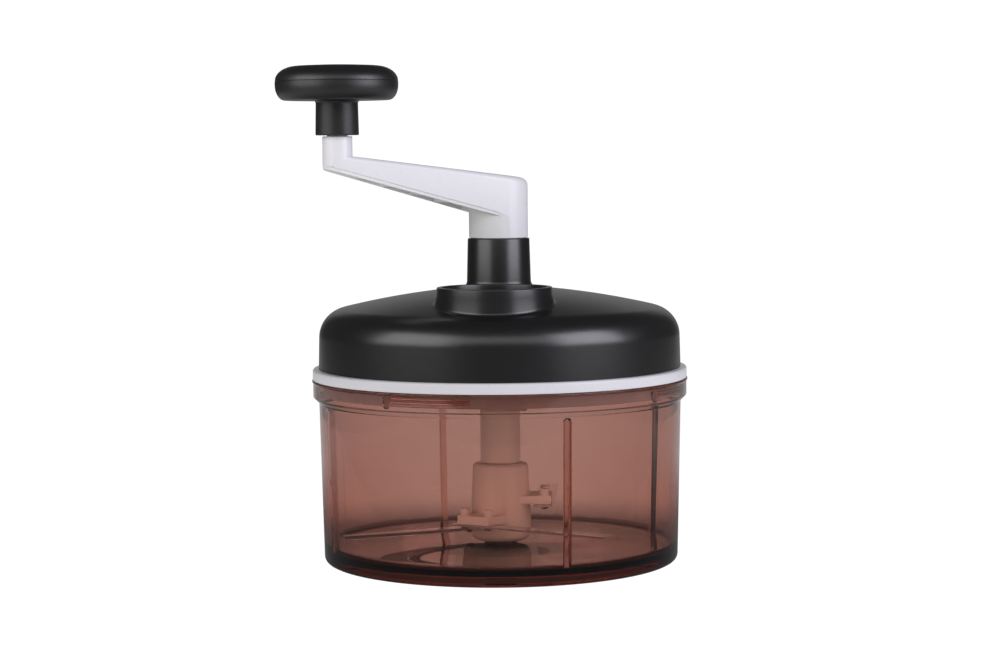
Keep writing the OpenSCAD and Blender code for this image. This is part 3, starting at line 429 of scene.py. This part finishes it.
def collar():
    """The collar's wall, which flares onto the dome with a small fillet."""
    bm = bmesh.new()
    rings = []
    fillet = 1.5
    rim = eased([(port_out_r, port_rim - 4, 0), (port_out_r, port_rim, port_ease),
                 (port_r, port_rim, port_ease), (port_r, port_rim - 4, 0)])
    for k in range(160):
        a = 2 * math.pi * k / 160
        ux, uy = math.cos(a), math.sin(a)

        def dome(r):
            return cover_height(math.hypot(port_x + r * ux, port_y + r * uy))
        path = [(port_r, port_foot), (port_out_r, port_foot), (port_out_r, dome(port_out_r) - 4),
                (port_out_r + 2.4, dome(port_out_r + 2.4) - 1.0)]
        for j in range(9):
            t = math.radians(90 - 11.25 * j)
            r = port_out_r + 0.5 + fillet * (1 - math.cos(t))
            path.append((r, dome(r) + fillet * (1 - math.sin(t)) - (0.06 if j == 0 else 0)))
        path += rim
        rings.append([bm.verts.new((port_x + r * ux, port_y + r * uy, z)) for r, z in path])
    for k, ring in enumerate(rings):
        after = rings[(k + 1) % len(rings)]
        for j in range(len(ring)):
            i = (j + 1) % len(ring)
            bm.faces.new((ring[j], ring[i], after[i], after[j]))
    bmesh.ops.recalc_face_normals(bm, faces=bm.faces)
    return bm


def worked(bm, tool, operation):
    """Joins a tool's form to a piece, or cuts it away."""
    pair = []
    for form in (bm, tool):
        mesh = bpy.data.meshes.new("work")
        form.to_mesh(mesh)
        form.free()
        made = bpy.data.objects.new("work", mesh)
        bpy.context.collection.objects.link(made)
        pair.append(made)
    change = pair[0].modifiers.new("work", "BOOLEAN")
    change.operation = operation
    change.solver = "EXACT"
    change.object = pair[1]
    done = bmesh.new()
    view = bpy.context.evaluated_depsgraph_get()
    done.from_object(pair[0], view)
    for made in pair:
        mesh = made.data
        bpy.data.objects.remove(made)
        bpy.data.meshes.remove(mesh)
    bmesh.ops.remove_doubles(done, verts=done.verts, dist=0.002)
    return done


def rod(x, y, r, low, high, columns=48):
    """An upright round bar."""
    return turned([(0, low), (r, low), (r, high), (0, high)], columns, centre=(x, y))


screw_circle_r, screw_bore_r, screw_post_r, post_sink, port_cut_r = 62, 1.7, 4, 1.2, 26.4
screw_post_top = crown(screw_circle_r, post_sink)
black = plastic("black_moulded_plastic", (0.007, 0.007, 0.0078), 0.29, 0.32,
                grain=2600, bump_strength=0.008, mottle=0.85, specular=0.95)
cover = turned(cover_line, 224, loop=True)
for k in range(4):
    a = math.radians(45 + 90 * k)
    screw_post = turned([(screw_bore_r, cover_foot), (screw_post_r, cover_foot),
                         (screw_post_r, screw_post_top), (screw_bore_r, screw_post_top)], 48, loop=True,
                        centre=(screw_circle_r * math.cos(a), screw_circle_r * math.sin(a)))
    cover = worked(cover, screw_post, "UNION")
port_hole = rod(port_x, port_y, port_cut_r, port_foot - 2, port_rim + 4, 96)
cover = worked(cover, port_hole, "DIFFERENCE")
cover = worked(cover, collar(), "UNION")
fitted("dome_cover", cover, black, "lid", ["lid_cover"], crease=35)
fitted("cover_fixing_screws", from_solid("cover_screws", 0.3, 2), screw_steel,
       "lid", ["cover_screws"])
fitted("upper_bush", from_solid("neck_bush", 0.25, 2), bearing, "lid", ["neck_bush"])

# ---------------------------------------------------------------- Drive
# A cream moulded tube with a large hexagon at its foot, which drops into the blade hub, and
# a small one at its top, which the crank's insert takes. A long screw from below draws the
# tube, a steel keeper washer and the crank together through the lid's two bushes.

fitted("drive_shaft_tube", from_solid("drive_tube", 0.3, 3), cream,
       "crank", ["drive_tube"])
fitted("drive_fixing_screw", from_solid("drive_screw", 0.3, 2), screw_steel,
       "crank", ["drive_screw"])
fitted("keeper_ring", from_solid("keeper_washer", 0.2, 2), screw_steel,
       "crank", ["keeper_washer"])

# ---------------------------------------------------------------- Crank
# The crank has two white mouldings. The outer shell is hub, arm and post in one, open below.
# The insert closes its lower edge with a narrow lip, has cross ribs under the arm, and ends
# in the neck's spigot at one end and in the knob's spindle at the other.

arm_turn = math.radians(205)
arm_len, hub_r, post_r, hub_foot = 85.2, 14.7, 7.25, 161.0
edge_at_hub, top_at_hub, lip_step, shell_wall = 172.1, 191.8, 1.5, 2.0
top_ease, ease_loss, hollow_top, hollow_past = 3.4, 1.2, 186.6, 12
post_foot, post_bore_r, post_bore_end = 197.2, 5.15, 204
edge_rate, top_rate = math.tan(math.radians(15.3)), math.tan(math.radians(7.2))
post_top = neck_top + 11.5 + edge_rate * arm_len + 16.1
split, split_gap = 1.0, 0.03


def shell_edge(s):
    """The height of the arm's lower edge, at a distance along it."""
    return edge_at_hub + edge_rate * s


def shell_top(s):
    """The height of the arm's top, at a distance along it."""
    return top_at_hub + top_rate * s


def arm_outline(inset, count=14):
    """The arm seen from above: (distance along, distance across), all round."""
    r1, r2 = hub_r - inset, post_r - inset
    a = math.acos((hub_r - post_r) / arm_len)
    step = [math.acos((split + split_gap) / hub_r), math.acos((split - split_gap) / hub_r)]
    line = [(r1 * math.cos(t), r1 * math.sin(t)) for t in
            [a] + step + [a + (math.pi - a) * k / count for k in range(1, count + 1)]]
    ends = [(r1 * math.cos(a), r1 * math.sin(a)), (arm_len + r2 * math.cos(a), r2 * math.sin(a))]
    (x0, y0), (x1, y1) = ends
    side = [(x0 + (x1 - x0) * k / 16, y0 + (y1 - y0) * k / 16) for k in range(16, 0, -1)]
    tip = [(arm_len + r2 * math.cos(t), r2 * math.sin(t)) for t in [a * k / 8 for k in range(8)]]
    half = tip + side + line
    return half + [(x, -y) for x, y in half[-2:0:-1]]


def along_arm(s, t):
    """Where a point along and across the arm lies, seen from above."""
    x = s * math.cos(arm_turn) - t * math.sin(arm_turn)
    y = s * math.sin(arm_turn) + t * math.cos(arm_turn)
    return (x, y)


def arm_shell():
    """The outer moulding's arm and hub as rings, from its lower edge over the rounded top."""
    def lower(s):
        if s < split:
            return hub_foot
        return shell_edge(s) - max(0, lip_step - (s - split))

    outline = arm_outline(0)
    rings = [[(s, t, lower(s)) for s, t in outline]]
    for k in range(8):
        a = math.radians(90 * k / 7)
        ring = []
        for i, (s, t) in enumerate(outline):
            ease = top_ease - ease_loss * min(1, max(0, (s + 5) / 40))
            inset = ease * (1 - math.cos(a))
            s_in, t_in = arm_outline(inset)[i]
            ring.append((s_in, t_in, shell_top(s_in) - ease * (1 - math.sin(a))))
        rings.append(ring)
    return rings


def skin(bm, rings):
    """Lays rings of points up into one skin, and closes it over the last ring."""
    laid = []
    for ring in rings:
        laid.append([bm.verts.new((*along_arm(s, t), z)) for s, t, z in ring])
    for low, high in zip(laid, laid[1:]):
        for k in range(len(low)):
            j = (k + 1) % len(low)
            bm.faces.new((low[k], low[j], high[j], high[k]))
    last = laid[-1]
    count = len(last)
    for k in range(count // 2):
        a, b = last[k], last[(k + 1) % count]
        c, d = last[(count - k - 1) % count], last[(count - k) % count]
        corners = list(dict.fromkeys((a, b, c, d)))
        if len(corners) > 2:
            bm.faces.new(corners)
    return laid


shell = bmesh.new()
outer_rings = arm_shell()
inner = arm_outline(shell_wall)
edge_ring = outer_rings[0]
inner_rings = [
    [(s, t, e[2]) for (s, t), e in zip(inner, edge_ring)],
    [(s, t, min(shell_top(s) - shell_wall, hollow_top + top_rate * (s + hollow_past)))
     for s, t in inner],
]
outer = skin(shell, outer_rings)
inside = skin(shell, inner_rings)
for k in range(len(outer[0])):
    j = (k + 1) % len(outer[0])
    shell.faces.new((outer[0][k], outer[0][j], inside[0][j], inside[0][k]))
bmesh.ops.recalc_face_normals(shell, faces=shell.faces)
post_x, post_y = along_arm(arm_len, 0)
post_line = eased([(post_bore_r, post_foot, 0), (post_r, post_foot, 0), (post_r, post_top, 0.45),
                   (post_bore_r, post_top, 0.2), (post_bore_r, post_bore_end, 0)])[:-1]
post = turned(post_line, 96, loop=True, centre=(post_x, post_y))
shell = worked(shell, post, "UNION")
crank_white = plastic("crank_white_plastic", (0.88, 0.865, 0.90), 0.27, 0.31,
                      bump_strength=0.01, mottle=0.985)
insert_white = plastic("insert_white_plastic", (0.86, 0.86, 0.865), 0.27, 0.31,
                       bump_strength=0.01, mottle=0.985)
fitted("crank_outer_shell", shell, crank_white, "crank", ["crank_shell"], crease=40)
fitted("crank_inner_insert", from_solid("crank_insert", 0.25, 2), insert_white,
       "crank", ["crank_insert"])

# ---------------------------------------------------------------- Knob
# A black disc knob in two mouldings: the lower half carries the neck that turns on the
# spindle, and the cap is pushed into it over the screw and washer that hold the knob on.

knob_at = (post_x, post_y)
seam, knob_foot, knob_neck_top = 237.9, 212.0, 227.2
spindle_bore, knob_neck_r, washer_bed_r, washer_bed, bore_top = 5.06, 10.5, 9.0, 233.3, 230.9
neck_bend, disc_flat_r, disc_round, disc_rise, disc_mid = 1.6, 25.0, 4.7, 7.4, 236.2
socket_r, socket_gap, cap_r, cap_round, cap_rise, cap_crown = 12.3, 0.2, 19.1, 10.5, 7.2, 0.6
body_line = eased([(spindle_bore, knob_foot, 0), (knob_neck_r, knob_foot, 0.45),
                   (10.2, knob_neck_top, 0)])[:-1]
for k in range(7):
    a = math.radians(180 - 15 * k)
    body_line.append((11.8 + neck_bend * math.cos(a), knob_neck_top + neck_bend * math.sin(a)))
for k in range(17):
    a = math.radians(-90 + 90 * k / 16)
    body_line.append((disc_flat_r + disc_round * math.cos(a), disc_mid + disc_rise * math.sin(a)))
body_line += [(29.7, seam - 0.1), (29.6, seam), (socket_r, seam), (socket_r, washer_bed),
              (washer_bed_r, washer_bed), (washer_bed_r, bore_top), (spindle_bore, bore_top)]
cap_line = [(29.5, seam + 0.06), (29.6, seam + 0.2)]
for k in range(1, 25):
    a = math.radians(90 * k / 24)
    cap_line.append((cap_r + cap_round * math.cos(a), seam + 0.2 + cap_rise * math.sin(a)))
for k in range(1, 9):
    crown_rise = cap_crown * math.sin(math.radians(90 * k / 8))
    cap_line.append((cap_r * (1 - k / 8), seam + 7.4 + crown_rise))
cap_line += [(0, seam + 1.7), (9.6, seam + 1.7), (9.6, washer_bed + socket_gap),
             (12.1, washer_bed + socket_gap), (12.1, seam + 0.12)]
knob_black = plastic("knob_black_plastic", (0.0085, 0.0085, 0.0095), 0.40, 0.44,
                     grain=2600, bump_strength=0.008, mottle=0.85, specular=0.85)
fitted("knob_lower_half", turned(body_line, 128, loop=True, centre=knob_at), knob_black,
       "knob", ["knob_body"])
cap = turned(cap_line, 128, loop=False, centre=knob_at)
bmesh.ops.holes_fill(cap, edges=cap.edges)
fitted("knob_top_cap", cap, knob_black, "knob", ["knob_cap"])
fitted("knob_holding_washer", from_solid("knob_washer", 0.2, 2), screw_steel,
       "crank", ["knob_washer"])
fitted("knob_holding_screw", from_solid("knob_screw", 0.3, 2), screw_steel,
       "crank", ["knob_screw"])

# ---------------------------------------------------------------- Studio
# A sheet of paper curves up behind the piece and glows white to the camera. The glow is dimmer
# in mirrors and through clear plastic, and close under the piece it is darkened as a painted shadow. Two
# tall softboxes and a front fill light it from outside, and two small lights inside the bowl light the
# blade unit.

paper_left, paper_right, paper_front = -0.7, 0.8, -0.5
paper_back, paper_bend, paper_top = 2.0, 0.5, 0.9
floor_form = bmesh.new()
floor_side = [(paper_front, 0)]
for k in range(25):
    a = math.radians(90 * k / 24)
    floor_side.append((paper_back - paper_bend + paper_bend * math.sin(a), paper_bend * (1 - math.cos(a))))
floor_side.append((paper_back, paper_top))
floor_rows = [[floor_form.verts.new((x, y, z)) for x in (paper_left, paper_right)] for y, z in floor_side]
for near, far in zip(floor_rows, floor_rows[1:]):
    floor_form.faces.new((near[0], near[1], far[1], far[0])).smooth = True
floor_mesh = bpy.data.meshes.new("table_top")
floor_form.to_mesh(floor_mesh)
floor_form.free()
table_top = bpy.data.objects.new("table_top", floor_mesh)
bpy.context.collection.objects.link(table_top)
paper = plastic("pale_paper", (0.15, 0.15, 0.15), 0.7, 0.85, mottle=0.99, specular=0.05)
paper_nodes, paper_links = paper.node_tree.nodes, paper.node_tree.links
paper_face = paper_nodes["Principled BSDF"]
paper_face.inputs["Emission Color"].default_value = (1, 1, 1, 1)


def paper_math(operation, first, second, third=0):
    """One step of arithmetic in the paper's material, on sockets or numbers."""
    step = paper_nodes.new("ShaderNodeMath")
    step.operation = operation
    for socket, value in zip(step.inputs, (first, second, third)):
        if isinstance(value, (int, float)):
            socket.default_value = value
        else:
            paper_links.new(value, socket)
    return step.outputs["Value"]


# The lowest glows below are a painted shadow on the paper close under the piece, seen through clear
# plastic and in mirrors.
direct_glow, bounced_glow, through_glow, painted_shadow_glow = 1.0, 0.8, 0.60, 0.05
mirrored_painted_shadow_glow, middle_glow, far_glow = 0.08, 0.42, 0.36
painted_shadow_near, painted_shadow_far, mirror_shadow_near, mirror_shadow_far, room_near, room_far = 0.08, 0.26, 0.15, 0.42, 0.7, 1.3
ray = paper_nodes.new("ShaderNodeLightPath").outputs
spot = paper_nodes.new("ShaderNodeTexCoord")
reach = paper_nodes.new("ShaderNodeVectorMath")
reach.operation = "LENGTH"
paper_links.new(spot.outputs["Object"], reach.inputs[0])


def paper_fade(near, far, near_value, far_value):
    """A value that changes with the distance from the middle of the object."""
    fade = paper_nodes.new("ShaderNodeMapRange")
    fade.interpolation_type = "SMOOTHSTEP"
    for socket, value in (("From Min", near), ("From Max", far),
                          ("To Min", near_value), ("To Max", far_value)):
        fade.inputs[socket].default_value = value
    paper_links.new(reach.outputs["Value"], fade.inputs["Value"])
    return fade.outputs["Result"]


# Seen through clear plastic, the paper's glow falls close under the piece: a painted shadow.
through_with_painted_shadow = paper_fade(painted_shadow_near, painted_shadow_far, painted_shadow_glow - direct_glow, through_glow - direct_glow)
# Seen in mirrors, the paper's glow also falls close under the piece: a painted shadow in the reflections.
mirrored_floor_with_painted_shadow = paper_fade(mirror_shadow_near, mirror_shadow_far, mirrored_painted_shadow_glow - direct_glow, middle_glow - direct_glow)
mirrored_with_painted_shadow = paper_math("ADD", mirrored_floor_with_painted_shadow, paper_fade(room_near, room_far, 0, far_glow - middle_glow))
bounced = paper_math("MULTIPLY", ray["Is Diffuse Ray"], bounced_glow - direct_glow)
sharp_mirror = paper_math("SUBTRACT", ray["Is Reflection Ray"], ray["Is Diffuse Ray"])
glow = paper_math("MULTIPLY_ADD", ray["Is Transmission Ray"], through_with_painted_shadow, direct_glow)
glow = paper_math("MULTIPLY_ADD", sharp_mirror, mirrored_with_painted_shadow, glow)
glow = paper_math("ADD", bounced, glow)
paper_links.new(glow, paper_face.inputs["Emission Strength"])
paper.cycles.emission_sampling = "NONE"
floor_mesh.materials.append(paper)


def softbox(name, turn, distance, low, high, width, power, colour=(1, 1, 1)):
    """A tall soft light that stands round the object, at an angle from the camera's side."""
    light = bpy.data.lights.new(name, "AREA")
    light.shape = "RECTANGLE"
    light.size, light.size_y = width, high - low
    light.energy = power
    light.color = colour
    lamp = bpy.data.objects.new(name, light)
    a = math.radians(turn - 90)
    lamp.location = (distance * math.cos(a), distance * math.sin(a), (low + high) / 2)
    lamp.rotation_euler = (math.radians(90), 0, a + math.radians(90))
    bpy.context.collection.objects.link(lamp)
    return lamp


softbox("left_softbox", turn=-55, distance=0.7, low=0.19, high=0.74, width=0.66, power=2.7)
softbox("right_softbox", turn=57, distance=0.7, low=0.18, high=0.74, width=0.56, power=4.1,
        colour=(0.91, 0.90, 1))
softbox("front_fill", turn=0, distance=1.5, low=0.60, high=1.4, width=1.8, power=4.6)
for name, side, power in (("bowl_fill_left", -1, 0.0095), ("bowl_fill_right", 1, 0.011)):
    inside_fill = softbox(name, turn=side * 40, distance=0.078, low=0.004, high=0.056, width=0.03,
                          power=power)
    inside_fill.visible_glossy = False
    inside_fill.visible_transmission = False

sky = bpy.data.worlds.new("studio_room")
bpy.context.scene.world = sky
sky.use_nodes = True
sky_nodes = sky.node_tree.nodes
sky_nodes["Background"].inputs["Color"].default_value = (1, 1, 1, 1)
sky_nodes["Background"].inputs["Strength"].default_value = 0.06

camera_pitch, camera_roll = 4.30, 0.5
lens = bpy.data.cameras.new("studio_camera")
lens.lens = 87.5
lens.sensor_width = 36
lens.clip_start, lens.clip_end = 0.05, 20
camera = bpy.data.objects.new("studio_camera", lens)
camera.location = (0.0011, -1.2105, 0.2039)
camera.rotation_euler = (math.radians(90 - camera_pitch), math.radians(camera_roll), 0)
bpy.context.collection.objects.link(camera)
bpy.context.scene.camera = camera
bpy.context.scene.view_settings.view_transform = "Standard"
